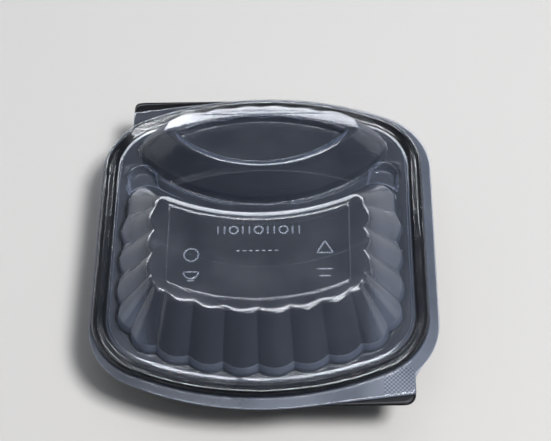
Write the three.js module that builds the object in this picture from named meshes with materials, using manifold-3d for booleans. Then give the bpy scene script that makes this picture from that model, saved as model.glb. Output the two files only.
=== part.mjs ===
// A two-compartment takeaway container: a black tray with a clear domed lid snapped on.
// Millimetres, +Z up, +Y to the back. The tray stands on z = 0, and the origin lies under
// the middle of the lid's flange.

import * as THREE from 'three';
import { mergeVertices } from 'three/addons/utils/BufferGeometryUtils.js';
import Module from 'manifold-3d';

const wasm = await Module();
wasm.setup();

// ---------------------------------------------------------------- driving dimensions

// Heights are measured from the crest of the rim bead. Plan places are measured from the
// plane that the domes are symmetrical about.
const trayDepth = 48;
const lidWall = 0.8;
const trayWall = 0.8;

const flange = { centreX: 2, halfWidth: 108, front: -112.4, back: 119, endRadius: 200, cornerRadius: 45 };
const crest = { centreX: 0, halfWidth: 103.5, front: -104.4, back: 115.3, endRadius: 200, cornerRadius: 42 };
const lidFlangeTop = -6;
const trayFlangeTop = -7.1;
const trayFlangeInset = 0.6;
const lidFloor = -2.2;
const deckTop = -9.4;

// The opening tabs stand at two opposite corners. Both pieces end at the same x.
const frontTab = { x: 93.8, lidEdge: -102.9, trayEdge: -109.7, start: 25.4, startY: -111 };
const backTab = { x: -88, lidEdge: 110, trayEdge: 118.6, start: -34, startY: 116.6 };
const tabRoot = 30;
const tabCorner = 5;

const valleyCentreY = 142;
const mainDome = {
  height: 30.3,
  halfWidth: 86.7,
  frontRadius: 157,
  frontCentreY: 66.6,
  cornerRadius: 37,
  valleyRadius: 121,
  backCorner: 12,
  lastCusp: 20.1,
  lobesPerSide: 8,
  lobeDepth: 3.3,
};
// How far each edge has moved in by the time the wall reaches the flat top.
const mainRun = { side: 22, front: 25.8, corner: 24, valley: 17, backCorner: 6, lastCusp: 11.1 };

const panel = { halfWidth: 54.9, frontRadius: 128, front: -58, back: 3.5, cornerRadius: 4, rise: 0.5 };

const backDomeFoot = { frontRadius: 110, frontCentreY: 142, backRadius: 185, backCentreY: -84.5, tip: 12 };
const backDomeTop = { frontRadius: 81, frontCentreY: 125, backRadius: 200, backCentreY: -109.5, tip: 8 };
const backDomeHeight = 24;
const backLobes = 3;
const backLobeDepth = 2;

const lens = { nearRadius: 77.5, near: 47.2, farRadius: 134, far: 82.8, depth: 6 };
const channel = { inner: 112.6, outer: 121.4, slope: 1.6, depth: 6, earX: 79.5, earY: 54.5, earRadius: 9.4 };

const bowl = { halfWidth: 91.5, frontRadius: 160.4, cornerRadius: 41, valleyRadius: 121.8, backCorner: 13 };
const backBowl = { frontRadius: 109.2, frontCentreY: 142, backRadius: 188, backCentreY: -84.5, tip: 14 };

// ---------------------------------------------------------------- outlines

const arc = (cx, cy, radius, from, to, count) =>
  Array.from({ length: count }, (_, i) => {
    const angle = from + ((to - from) * i) / count;
    return [cx + radius * Math.cos(angle), cy + radius * Math.sin(angle)];
  });

// A rectangle with bulging ends: straight sides, an arc across each end, rounded corners.
// A positive offset gives the parallel outline that far outside.
function bulgedOutline(shape, offset = 0, cornerSteps = 5, endSteps = 6) {
  const cx = shape.halfWidth - shape.cornerRadius;
  const reach = Math.sqrt((shape.endRadius - shape.cornerRadius) ** 2 - cx ** 2);
  const half = Math.atan2(cx, reach);
  const frontCentre = shape.front + shape.endRadius;
  const backCentre = shape.back - shape.endRadius;
  const r = shape.cornerRadius + offset;
  const R = shape.endRadius + offset;
  const quarter = Math.PI / 2;
  return [
    ...arc(0, frontCentre, R, -quarter - half, -quarter + half, endSteps),
    ...arc(cx, frontCentre - reach, r, -quarter + half, 0, cornerSteps),
    [cx + r, frontCentre - reach],
    ...arc(cx, backCentre + reach, r, 0, quarter - half, cornerSteps),
    ...arc(0, backCentre, R, quarter - half, quarter + half, endSteps),
    ...arc(-cx, backCentre + reach, r, quarter + half, 2 * quarter, cornerSteps),
    [-cx - r, backCentre + reach],
    ...arc(-cx, frontCentre - reach, r, 2 * quarter, 3 * quarter - half, cornerSteps),
  ].map(([x, y]) => [x + shape.centreX, y]);
}

// The right half of a closed outline, from front centre round to back centre, is mirrored
// to make the whole. Both end points lie on x = 0.
const mirrored = (half) => [...half, ...half.slice(1, -1).reverse().map(([x, y]) => [-x, y])];

const blend = (a, b, t) => a + (b - a) * t;

// The shape of a lobe from one sharp cusp to the next, 0 at both and 1 in the middle.
const lobe = (fraction) => 1 - (2 * fraction - 1) ** 2;

// The right half of a compartment-shaped outline: a front arc, a corner, a straight side, a
// back corner and a hollow back arc that runs round the valley. Lobes swell out between
// cusps that are equally spaced along the foot of the wall.
function compartmentHalf(o) {
  const points = [];
  const cx = o.halfWidth - o.cornerRadius;
  const reach = Math.sqrt((o.frontRadius - o.cornerRadius) ** 2 - cx ** 2);
  const cornerY = mainDome.frontCentreY - reach;
  const half = Math.atan2(cx, reach);
  const lengths = [
    mainDome.frontRadius * footHalfAngle,
    mainDome.cornerRadius * (Math.PI / 2 - footHalfAngle),
    mainDome.lastCusp - footCornerY,
  ];
  const total = lengths[0] + lengths[1] + lengths[2];
  const count = mainDome.lobesPerSide * o.steps;
  for (let i = 0; i < count; i++) {
    const along = (total * i) / count;
    const swell = o.lobeDepth * lobe((i % o.steps) / o.steps);
    if (along < lengths[0]) {
      const angle = (half * along) / lengths[0];
      const r = o.frontRadius + swell * (o.frontRadius / mainDome.frontRadius);
      points.push([r * Math.sin(angle), mainDome.frontCentreY - r * Math.cos(angle)]);
    } else if (along < lengths[0] + lengths[1]) {
      const angle = half + ((Math.PI / 2 - half) * (along - lengths[0])) / lengths[1];
      const r = o.cornerRadius + swell * (o.cornerRadius / mainDome.cornerRadius);
      points.push([cx + r * Math.sin(angle), cornerY - r * Math.cos(angle)]);
    } else {
      const fraction = (along - lengths[0] - lengths[1]) / lengths[2];
      points.push([o.halfWidth + swell, blend(cornerY, o.lastCusp, fraction)]);
    }
  }
  points.push([o.halfWidth, o.lastCusp]);
  const bx = o.halfWidth - o.backCorner;
  const backReach = Math.sqrt((o.valleyRadius + o.backCorner) ** 2 - bx ** 2);
  const meet = Math.atan2(bx, backReach);
  const backY = valleyCentreY - backReach;
  points.push(...arc(bx, backY, o.backCorner, 0, Math.PI / 2 + meet, 6));
  for (let i = 0; i <= 5; i++) {
    const angle = meet * (1 - i / 5);
    points.push([o.valleyRadius * Math.sin(angle), valleyCentreY - o.valleyRadius * Math.cos(angle)]);
  }
  return points;
}

const footCornerX = mainDome.halfWidth - mainDome.cornerRadius;
const footReach = Math.sqrt((mainDome.frontRadius - mainDome.cornerRadius) ** 2 - footCornerX ** 2);
const footHalfAngle = Math.atan2(footCornerX, footReach);
const footCornerY = mainDome.frontCentreY - footReach;

// The main dome's outline once its wall has gone `run` of the way in; `skin` shrinks it
// further, by a wall thickness.
const mainDomeOutline = (run, skin, depthScale) =>
  mirrored(
    compartmentHalf({
      halfWidth: mainDome.halfWidth - mainRun.side * run - skin,
      frontRadius: mainDome.frontRadius - mainRun.front * run - skin,
      cornerRadius: mainDome.cornerRadius - mainRun.corner * run - skin,
      valleyRadius: mainDome.valleyRadius + mainRun.valley * run + skin,
      backCorner: mainDome.backCorner - mainRun.backCorner * run - skin * 0.5,
      lastCusp: mainDome.lastCusp - mainRun.lastCusp * run,
      lobeDepth: mainDome.lobeDepth * depthScale,
      steps: 4,
    })
  );

const bowlOutline = (inset) =>
  mirrored(
    compartmentHalf({
      halfWidth: bowl.halfWidth - inset,
      frontRadius: bowl.frontRadius - inset,
      cornerRadius: bowl.cornerRadius - inset,
      valleyRadius: bowl.valleyRadius + inset * 0.6,
      backCorner: bowl.backCorner - inset * 0.3,
      lastCusp: mainDome.lastCusp - 4,
      lobeDepth: 0,
      steps: 2,
    })
  );

// A pointed oval: a front arc and a back arc that meet in rounded tips. The back arc can
// carry lobes.
function ovalOutline(o, frontSteps, lobeSteps, lobeDepth) {
  const d1 = o.frontRadius - o.tip;
  const d2 = o.backRadius - o.tip;
  const apart = o.frontCentreY - o.backCentreY;
  const rise = (d2 ** 2 - d1 ** 2 + apart ** 2) / (2 * apart);
  const tipX = Math.sqrt(d2 ** 2 - rise ** 2);
  const tipY = o.backCentreY + rise;
  const frontAngle = Math.atan2(tipX, o.frontCentreY - tipY);
  const backAngle = Math.atan2(tipX, rise);
  const points = [];
  for (let i = 0; i < frontSteps; i++) {
    const angle = (frontAngle * i) / frontSteps;
    points.push([o.frontRadius * Math.sin(angle), o.frontCentreY - o.frontRadius * Math.cos(angle)]);
  }
  points.push(...arc(tipX, tipY, o.tip, frontAngle - Math.PI / 2, Math.PI / 2 - backAngle, 5));
  const count = backLobes * lobeSteps;
  for (let i = 0; i <= count; i++) {
    const angle = backAngle * (1 - i / count);
    const r = o.backRadius + lobeDepth * lobe((i % lobeSteps) / lobeSteps);
    points.push([r * Math.sin(angle), o.backCentreY + r * Math.cos(angle)]);
  }
  return mirrored(points);
}

function backDomeOutline(run, skin, depthScale) {
  const between = (key) => blend(backDomeFoot[key], backDomeTop[key], run);
  const shape = {
    frontRadius: between('frontRadius') - skin,
    frontCentreY: between('frontCentreY'),
    backRadius: between('backRadius') - skin,
    backCentreY: between('backCentreY'),
    tip: between('tip') - skin,
  };
  return ovalOutline(shape, 6, 4, backLobeDepth * depthScale);
}

function backBowlOutline(inset) {
  const shape = {
    ...backBowl,
    frontRadius: backBowl.frontRadius - inset * 0.6,
    backRadius: backBowl.backRadius - inset,
    tip: backBowl.tip - inset * 0.5,
  };
  return ovalOutline(shape, 6, 2, 0);
}

// Two arcs that meet in sharp points, grown by `offset`.
function lensOutline(offset) {
  const nearCentre = lens.near + lens.nearRadius;
  const farCentre = lens.far - lens.farRadius;
  const nearR = lens.nearRadius + offset;
  const farR = lens.farRadius + offset;
  const apart = nearCentre - farCentre;
  const rise = (farR ** 2 - nearR ** 2 + apart ** 2) / (2 * apart);
  const tipX = Math.sqrt(farR ** 2 - rise ** 2);
  const nearAngle = Math.atan2(tipX, apart - rise);
  const farAngle = Math.atan2(tipX, rise);
  const quarter = Math.PI / 2;
  return [
    ...arc(0, nearCentre, nearR, -quarter - nearAngle, -quarter + nearAngle, 12),
    ...arc(0, farCentre, farR, quarter - farAngle, quarter + farAngle, 8),
  ];
}

// The stretch of the valley between its two round ends.
function channelOutline(offset) {
  const half = Math.atan2(channel.earX, valleyCentreY - channel.earY);
  const quarter = Math.PI / 2;
  const steps = 12;
  return [
    ...arc(0, valleyCentreY, channel.outer + offset, -quarter - half, -quarter + half, steps),
    [(channel.outer + offset) * Math.sin(half), valleyCentreY - (channel.outer + offset) * Math.cos(half)],
    ...arc(0, valleyCentreY, channel.inner - offset, -quarter + half, -quarter - half, steps),
    [-(channel.inner - offset) * Math.sin(half), valleyCentreY - (channel.inner - offset) * Math.cos(half)],
  ];
}

function panelOutline() {
  const cx = panel.halfWidth - panel.cornerRadius;
  const centreY = panel.front + panel.frontRadius;
  const reach = Math.sqrt((panel.frontRadius - panel.cornerRadius) ** 2 - cx ** 2);
  const half = Math.atan2(cx, reach);
  const valley = mainDome.valleyRadius + mainRun.valley + panel.back;
  const backAngle = Math.asin(panel.halfWidth / valley);
  const right = [
    ...arc(0, centreY, panel.frontRadius, -Math.PI / 2, -Math.PI / 2 + half, 7),
    ...arc(cx, centreY - reach, panel.cornerRadius, -Math.PI / 2 + half, 0, 3),
    [panel.halfWidth, centreY - reach],
  ];
  for (let i = 0; i <= 7; i++) {
    const angle = backAngle * (1 - i / 7);
    right.push([valley * Math.sin(angle), valleyCentreY - valley * Math.cos(angle)]);
  }
  return mirrored(right);
}

// ---------------------------------------------------------------- solids

function solid(geometry) {
  geometry.deleteAttribute('normal');
  geometry.deleteAttribute('uv');
  const merged = mergeVertices(geometry, 1e-5);
  return new wasm.Manifold(
    new wasm.Mesh({
      numProp: 3,
      vertProperties: new Float32Array(merged.attributes.position.array),
      triVerts: new Uint32Array(merged.index.array),
    })
  );
}

// Rings of equal length, each { points, z }, joined one to the next. Open stacks are capped
// at both ends; a closed one runs back into its first ring. Rings turn anticlockwise and
// climb, or for a closed stack run anticlockwise round the wall's section.
function stack(rings, { closed = false } = {}) {
  const size = rings[0].points.length;
  const positions = rings.flatMap((ring) => ring.points.flatMap(([x, y]) => [x, y, ring.z]));
  const index = [];
  const joins = closed ? rings.length : rings.length - 1;
  for (let k = 0; k < joins; k++) {
    const low = k * size;
    const high = ((k + 1) % rings.length) * size;
    for (let i = 0; i < size; i++) {
      const j = (i + 1) % size;
      index.push(low + i, low + j, high + j, low + i, high + j, high + i);
    }
  }
  if (!closed) {
    const cap = (ring, start, up) => {
      const contour = ring.points.map(([x, y]) => new THREE.Vector2(x, y));
      for (const [a, b, c] of THREE.ShapeUtils.triangulateShape(contour, [])) {
        if (up) index.push(start + a, start + b, start + c);
        else index.push(start + c, start + b, start + a);
      }
    };
    cap(rings[0], 0, false);
    cap(rings.at(-1), (rings.length - 1) * size, true);
  }
  const geometry = new THREE.BufferGeometry();
  geometry.setAttribute('position', new THREE.Float32BufferAttribute(positions, 3));
  geometry.setIndex(index);
  return solid(geometry);
}

// A wall section, a list of [outward, z] round the wall, carried along the crest outline.
const rimFrom = (section) =>
  stack(
    section.map(([out, z]) => ({ points: bulgedOutline(crest, out), z })),
    { closed: true }
  );

const slab = (points, bottom, top) => stack([{ points, z: bottom }, { points, z: top }]);

function earCone(side, radius, bottom, top) {
  const cone = new THREE.CylinderGeometry(radius, radius - channel.slope * 2, top - bottom, 16);
  cone.rotateX(Math.PI / 2);
  cone.translate(side * channel.earX, channel.earY, (top + bottom) / 2);
  return solid(cone);
}

// The valley's outer form, grown by `skin`, from its floor up to `top`.
function valleyBody(skin, top) {
  const bottom = lidFloor - channel.depth - skin;
  let body = stack([
    { points: channelOutline(skin - channel.slope), z: bottom },
    { points: channelOutline(skin), z: top },
  ]);
  for (const side of [-1, 1]) body = body.add(earCone(side, channel.earRadius + skin, bottom, top));
  return body;
}

// ---------------------------------------------------------------- lid

// The lid's tab keeps to the flange's edge, along a straight line to its corner.
function lidTab(tab, bottom, top) {
  const inward = Math.sign(tab.x) * tabRoot;
  const points = [
    [tab.start, tab.startY],
    [tab.x, tab.lidEdge],
    [tab.x, tab.lidEdge - Math.sign(tab.lidEdge) * tabRoot],
    [tab.x - inward * 2, tab.lidEdge - Math.sign(tab.lidEdge) * tabRoot],
  ];
  return slab(points, bottom, top);
}

function lidBody() {
  const rim = rimFrom([
    [1.0, -6.8],
    [1.0, -6.0],
    [0.6, -3.0],
    [0, -1.0],
    [-1, 0],
    [-3, 0],
    [-6.5, -2.4],
    [-9, -1],
    [-12.3, -1],
    [-13.6, lidFloor],
    [-14.8, lidFloor],
    [-14.8, lidFloor - lidWall],
    [-12.6, -1.8],
    [-8.8, -1.8],
    [-6.6, -3.2],
    [-3.2, -0.8],
    [-1, -1.1],
    [-0.2, -3.2],
    [0.2, -6.8],
  ]);
  const flangeHole = slab(bulgedOutline(crest, 0.6), -20, 20);
  const plate = slab(bulgedOutline(flange), lidFlangeTop - lidWall, lidFlangeTop)
    .add(lidTab(frontTab, lidFlangeTop - lidWall, lidFlangeTop))
    .add(lidTab(backTab, lidFlangeTop - lidWall, lidFlangeTop))
    .subtract(flangeHole);
  const floorPlate = slab(bulgedOutline(crest, -14.2), lidFloor - lidWall, lidFloor);

  const mainOuter = stack(
    [
      [0, lidFloor - 0.4, 1],
      [0.09, 5.5, 1],
      [0.88, 27, 1],
      [0.96, 29.4, 0.9],
      [1.06, mainDome.height, 0.6],
    ].map(([run, z, depth]) => ({ points: mainDomeOutline(run, 0, depth), z }))
  );
  const mainInner = stack(
    [
      [0, lidFloor - 3, 1],
      [0.09, 5.3, 1],
      [0.88, 26.6, 1],
      [0.96, 28.8, 0.9],
      [1.06, mainDome.height - lidWall, 0.6],
    ].map(([run, z, depth]) => ({ points: mainDomeOutline(run, 1, depth), z }))
  );
  const backOuter = stack(
    [
      [0, lidFloor - 0.4, 1],
      [0.1, 3.5, 1],
      [0.86, 21.6, 1],
      [1, backDomeHeight, 0.8],
    ].map(([run, z, depth]) => ({ points: backDomeOutline(run, 0, depth), z }))
  );
  const backInner = stack(
    [
      [0, lidFloor - 3, 1],
      [0.1, 3.3, 1],
      [0.86, 21, 1],
      [1, backDomeHeight - lidWall, 0.8],
    ].map(([run, z, depth]) => ({ points: backDomeOutline(run, 1, depth), z }))
  );
  const lensFloor = backDomeHeight - lens.depth;
  return rim
    .add(plate)
    .add(floorPlate)
    .add(mainOuter)
    .add(slab(panelOutline(), mainDome.height - 0.3, mainDome.height + panel.rise))
    .add(backOuter)
    .subtract(mainInner)
    .subtract(backInner)
    .add(valleyBody(lidWall, lidFloor))
    .subtract(valleyBody(0, lidFloor + 1))
    .add(slab(lensOutline(lidWall), lensFloor - lidWall, backDomeHeight - 0.2))
    .subtract(slab(lensOutline(0), lensFloor, backDomeHeight + 1));
}

// ---------------------------------------------------------------- tray

function trayTab(tab, bottom, top) {
  const sx = Math.sign(tab.x);
  const sy = Math.sign(tab.trayEdge);
  const cx = tab.x - sx * tabCorner;
  const cy = tab.trayEdge - sy * tabCorner;
  const sweep = Array.from({ length: 6 }, (_, i) => {
    const angle = (Math.PI / 2) * (i / 5);
    return [cx + sx * tabCorner * Math.sin(angle), cy + sy * tabCorner * Math.cos(angle)];
  });
  const back = tab.trayEdge - sy * tabRoot;
  const points = [[tab.x - sx * 75, tab.trayEdge], ...sweep, [tab.x, back], [tab.x - sx * 45, back]];
  const turns = THREE.ShapeUtils.area(points.map(([x, y]) => new THREE.Vector2(x, y)));
  return slab(turns > 0 ? points : points.reverse(), bottom, top);
}

function trayBody() {
  const rim = rimFrom([
    [-0.5, -7.9],
    [-0.5, trayFlangeTop],
    [-1.0, -3.4],
    [-1.8, -1.6],
    [-3.0, -1.4],
    [-6.2, -3.9],
    [-7.4, -4.8],
    [-8.4, deckTop],
    [-9.6, deckTop],
    [-9.6, deckTop - trayWall],
    [-7.6, deckTop - trayWall],
    [-6.6, -5.4],
    [-5.8, -4.7],
    [-3.0, -2.2],
    [-1.8, -3.6],
    [-1.3, -7.9],
  ]);
  const bottom = trayFlangeTop - trayWall;
  const plate = slab(bulgedOutline(flange, -trayFlangeInset), bottom, trayFlangeTop)
    .add(trayTab(frontTab, bottom, trayFlangeTop))
    .add(trayTab(backTab, bottom, trayFlangeTop))
    .subtract(slab(bulgedOutline(crest, -0.9), -20, 20));
  const deck = slab(bulgedOutline(crest, -9.2), deckTop - trayWall, deckTop);

  // Each bowl's wall leans in, then turns into the floor round a soft edge.
  const wall = [
    [14, -trayDepth],
    [9.5, -trayDepth + 2.2],
    [7, -trayDepth + 8],
    [0, deckTop - 0.4],
  ];
  const cavity = [
    [14.4, -trayDepth + trayWall],
    [10.3, -trayDepth + 3],
    [7.9, -trayDepth + 8.4],
    [0.7, deckTop + 2],
  ];
  const bowlsFrom = (section) =>
    stack(section.map(([inset, z]) => ({ points: bowlOutline(inset), z }))).add(
      stack(section.map(([inset, z]) => ({ points: backBowlOutline(inset), z })))
    );
  return rim.add(plate).add(deck).add(bowlsFrom(wall)).subtract(bowlsFrom(cavity));
}

// ---------------------------------------------------------------- assembly

function piece(name, body, material) {
  const mesh = body.getMesh();
  const geometry = new THREE.BufferGeometry();
  geometry.setAttribute('position', new THREE.Float32BufferAttribute(mesh.vertProperties, 3));
  geometry.setIndex(new THREE.Uint32BufferAttribute(mesh.triVerts, 1));
  geometry.computeVertexNormals();
  const result = new THREE.Mesh(geometry, material);
  result.name = name;
  return result;
}

const clearPlastic = new THREE.MeshStandardMaterial({
  name: 'clear polypropylene',
  color: 0x8e96a3,
  roughness: 0.25,
  metalness: 0,
  transparent: true,
  opacity: 0.45,
});
const blackPlastic = new THREE.MeshStandardMaterial({
  name: 'black polypropylene',
  color: 0x17181a,
  roughness: 0.35,
  metalness: 0,
});

const container = new THREE.Group();
container.add(piece('tray', trayBody(), blackPlastic));
container.add(piece('lid', lidBody(), clearPlastic));
container.position.set(-flange.centreX, -(flange.front + flange.back) / 2, trayDepth);

export default container;
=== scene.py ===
"""A two-compartment takeaway container: a glossy black tray under a milky clear domed lid."""

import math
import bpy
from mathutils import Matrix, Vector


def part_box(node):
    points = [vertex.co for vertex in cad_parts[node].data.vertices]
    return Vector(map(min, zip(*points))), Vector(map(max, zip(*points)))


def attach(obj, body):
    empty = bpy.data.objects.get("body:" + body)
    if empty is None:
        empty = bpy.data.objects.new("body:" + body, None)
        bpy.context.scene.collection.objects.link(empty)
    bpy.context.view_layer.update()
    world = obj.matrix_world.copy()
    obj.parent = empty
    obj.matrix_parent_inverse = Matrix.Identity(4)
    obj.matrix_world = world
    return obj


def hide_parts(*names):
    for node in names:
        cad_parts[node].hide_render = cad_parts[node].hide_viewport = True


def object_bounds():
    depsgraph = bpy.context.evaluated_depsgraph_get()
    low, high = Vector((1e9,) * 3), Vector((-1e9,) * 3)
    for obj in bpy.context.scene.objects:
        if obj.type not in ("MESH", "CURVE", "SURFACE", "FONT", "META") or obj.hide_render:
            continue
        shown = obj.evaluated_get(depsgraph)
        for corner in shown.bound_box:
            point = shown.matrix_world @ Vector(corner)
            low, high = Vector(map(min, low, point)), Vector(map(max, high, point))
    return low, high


bl_info = {
    "name": "Takeaway meal container",
    "version": (1, 0, 0),
    "blender": (4, 5, 0),
    "location": "3D View > Sidebar > Container",
    "description": "Builds a black two-compartment meal tray with its clear fluted lid",
    "category": "Object",
}

import bpy
import numpy as np
from bpy.props import FloatProperty, PointerProperty, StringProperty
from mathutils import Matrix, Vector
from mathutils.geometry import tessellate_polygon

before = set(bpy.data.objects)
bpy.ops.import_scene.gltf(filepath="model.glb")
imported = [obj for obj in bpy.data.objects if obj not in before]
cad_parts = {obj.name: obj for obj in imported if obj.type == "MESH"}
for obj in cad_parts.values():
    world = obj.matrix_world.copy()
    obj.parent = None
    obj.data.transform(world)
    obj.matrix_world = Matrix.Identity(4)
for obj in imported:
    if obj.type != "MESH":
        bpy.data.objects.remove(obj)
cad_low, cad_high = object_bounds()
lid_low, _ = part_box("lid")
tray_low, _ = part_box("tray")

# ------------------------------------------------------------------ sizes, in millimetres
# Plan places are measured from the plane that the domes are symmetrical about, and heights
# from the crest of the rim. SHIFT moves them to the CAD model's place.

MM = 0.001
DEPTH = 48.0
PLAN_LEFT, PLAN_FRONT = -106.0, -112.4
SHIFT = np.array([lid_low[0] / MM - PLAN_LEFT, lid_low[1] / MM - PLAN_FRONT, tray_low[2] / MM + DEPTH])

FLANGE = {"centre": 2.0, "half": 108.0, "front": -112.4, "back": 119.0, "end": 200.0, "corner": 45.0}
CREST = {"centre": 0.0, "half": 103.5, "front": -104.4, "back": 115.3, "end": 200.0, "corner": 42.0}
LID_FLANGE, TRAY_FLANGE = -6.0, -7.1
LID_FLOOR, GROOVE_FLOOR, DECK = -2.2, -2.9, -9.4
FLANGE_BEND, FOOT_BEND, FOOT_TOP, CROWN_BEND = 0.8, 0.3, 5.4, 2.0

VALLEY_CENTRE = 142.0
FRONT_CENTRE = 66.6
# the main dome's outline at its foot, and how far each size has moved MAIN_REACH in from it
MAIN_FOOT = {
    "half": 86.7, "front": 157.0, "corner": 37.0, "valley": 121.0, "back_corner": 12.0, "last": 20.1,
}
MAIN_RUN = {
    "half": -22.0, "front": -25.8, "corner": -24.0, "valley": 17.0, "back_corner": -6.0, "last": -11.1,
}
MAIN_TOP, MAIN_REACH = 30.3, 22.0
LOBES, LOBE_DEPTH = 8, 3.3
CUSP = 0.012
BACK_EDGE_RADIUS, BACK_EDGE_FALL = 142.5, 0.045

BACK_FOOT = {"front": 110.0, "front_y": 142.0, "back": 185.0, "back_y": -84.5, "tip": 12.0}
BACK_CROWN = {"front": 81.0, "front_y": 125.0, "back": 200.0, "back_y": -109.5, "tip": 8.0}
BACK_TOP, BACK_REACH = 24.0, 10.0
BACK_LOBES, BACK_LOBE_DEPTH = 3, 2.0
CROWN = {"shelf": 1.0, "reach": 9.0, "fall": 0.022, "start_y": 68.0, "fade": 8.0, "wall": 5.0}

LENS = {"near": 47.2, "near_radius": 77.5, "far": 82.8, "far_radius": 134.0, "depth": 6.0}
GUTTER = {"far": 112.8, "clearance": 1.9, "depth": 6.0, "full_width": 9.0}
EAR = {"x": 79.0, "y": 53.2, "radius": 10.0, "start": 30.0, "end": 178.0, "lead": 8.0, "join": 0.6}
SET_BACK = {"depth": 1.5, "half": 19.0, "blend": 0.7}
PANEL = {
    "half": 54.9, "front": -58.0, "radius": 128.0, "corner": 4.0, "back": 5.6, "rise": 0.45, "line": 0.22,
}
BOWL = {"half": 91.5, "front": 160.4, "corner": 41.0, "valley": 121.8, "back_corner": 13.0, "last": 16.1}
BACK_BOWL = {"front": 109.2, "front_y": 142.0, "back": 188.0, "back_y": -84.5, "tip": 14.0}

SHOULDER_FAR, SHOULDER_BACK, SHOULDER_WIDTH = -8.1, -11.2, 3.0
CATCH = {"x": 101.5, "y": 4.5, "wide": 2.0, "long": 1.8, "height": 1.3}
MARK = {"width": 0.9, "height": 0.2, "sunk": 0.05, "wall": 0.0001}
GRIP = {"x": 84.0, "y": -94.0, "half_x": 9.5, "half_y": 9.0, "period": 2.6, "milk": 0.3}

# what each region adds to the share of light that the milky core keeps back. The flange, its
# grip, the bead and the shoulder get the film's real haze; the rest is painted light: the flange
# painted lighter on the right where the key light falls, a painted reflection of the pale table on
# the dome's foot, and painted light on the side lobes, more on the left
HAZE_AND_PAINTED_LIGHT = {
    "bead": -0.4, "flange": 0.06, "flange_painted_light_right": 0.2, "flange_grip": 0.15,
    "shoulder": 0.05, "foot": 0.4, "side": 0.32, "left_side_painted_light": 0.08,
}

# points on one outline: lobes, then the straight side, the back corner and the hollow back
SIDE_STEPS, CORNER_STEPS, HOLLOW_STEPS = 5, 16, 26
FLANGE_STEPS, GUTTER_MIDDLE, RING_STEPS = 8, 5, 28
# a finer outline for rays to meet: points on each corner, end and side
RAY_STEPS = (90, 90, 60)
# points that round to the same step, in metres, become one
MERGE = 1e-6

# ------------------------------------------------------------------ the stage, in metres

TABLE_HALF, TABLE_STEPS = 3.0, 8
# the lights that light the table and cast the shadow: size, place, target, power
LIGHTS = {
    "key": ((0.6, 0.54), (0.94, -0.52, 2.22), tuple((cad_low + cad_high) / 2), 64.0),
    "low fill": ((1.4, 0.2), (-1.2, 0.0, 0.16), (0, 0, 0.06), 4.0),
}
# the cards that are seen only in the gloss: size, place, power
CARDS = {
    "front card": ((0.8, 0.6), (0.55, -0.5, 1.15), 58.0),
    "overhead card": ((0.9, 0.5), (0.0, 0.06, 1.2), 68.0),
    "back card": ((1.7, 0.8), (0.3, 1.3, 0.72), 72.0),
    "back left card": ((1.0, 0.8), (-0.8, 1.2, 0.66), 44.0),
    "right card": ((1.6, 0.8), (1.2, 0.3, 0.45), 9.0),
    "left card": ((1.5, 0.8), (-1.2, 0.2, 0.45), 6.0),
}
CARD_TARGET, CARD_COLOUR = (0, 0, 0.08), "#F1F4FA"
ROOM_COLOUR, ROOM_LIGHT = "#AEB6C4", 0.04
# angles in degrees, and the camera's distances in millimetres from the rim's crest
CAMERA = {"side": 3.76, "rise": 57.0, "roll": 3.80, "right": 10.10, "up": 13.77, "back": 909.2}
LENS_LENGTH, SENSOR_WIDTH = 94.0, 36.0


# ------------------------------------------------------------------ curves in plan


def ramp(value, start, length):
    """(value - start) / length, held between 0 and 1."""
    return np.clip((value - start) / length, 0, 1)


def arc(cx, cy, radius, start, stop, count, last=False):
    """Points (cx + r cos a, cy + r sin a) at `count` even angles from start to stop."""
    angle = np.linspace(start, stop, count, endpoint=last)
    return np.stack([cx + radius * np.cos(angle), cy + radius * np.sin(angle)], axis=1)


def line(start, stop, count):
    """`count` even steps along a straight line, without its last point."""
    t = np.linspace(0, 1, count, endpoint=False)[:, None]
    return (1 - t) * np.array(start, float) + t * np.array(stop, float)


def bend(start, control, stop, count):
    """A quadratic curve: (1-t)^2 start + 2t(1-t) control + t^2 stop."""
    t = np.linspace(0, 1, count)[:, None]
    start, control, stop = (np.array(p, float) for p in (start, control, stop))
    return (1 - t) ** 2 * start + 2 * t * (1 - t) * control + t**2 * stop


def mirrored(half):
    """The right half of an outline, front centre to back centre, and its mirror image."""
    other = half[-2:0:-1] * np.array([-1.0, 1.0])
    return np.concatenate([half, other])


def bulged(shape, offset=0.0, corner_steps=44, end_steps=44, side_steps=20):
    """Four tangent arcs and two straight sides, all moved outwards by `offset`."""
    cx = shape["half"] - shape["corner"]
    reach = math.sqrt((shape["end"] - shape["corner"]) ** 2 - cx**2)
    half = math.atan2(cx, reach)
    front, back = shape["front"] + shape["end"], shape["back"] - shape["end"]
    r, big = shape["corner"] + offset, shape["end"] + offset
    q = math.pi / 2
    low, high = front - reach, back + reach
    points = np.concatenate([
        arc(0, front, big, -q - half, -q + half, end_steps),
        arc(cx, low, r, -q + half, 0, corner_steps),
        line((cx + r, low), (cx + r, high), side_steps),
        arc(cx, high, r, 0, q - half, corner_steps),
        arc(0, back, big, q - half, q + half, end_steps),
        arc(-cx, high, r, q + half, 2 * q, corner_steps),
        line((-cx - r, high), (-cx - r, low), side_steps),
        arc(-cx, low, r, 2 * q, 3 * q - half, corner_steps),
    ])
    return points + np.array([shape["centre"], 0.0])


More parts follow.
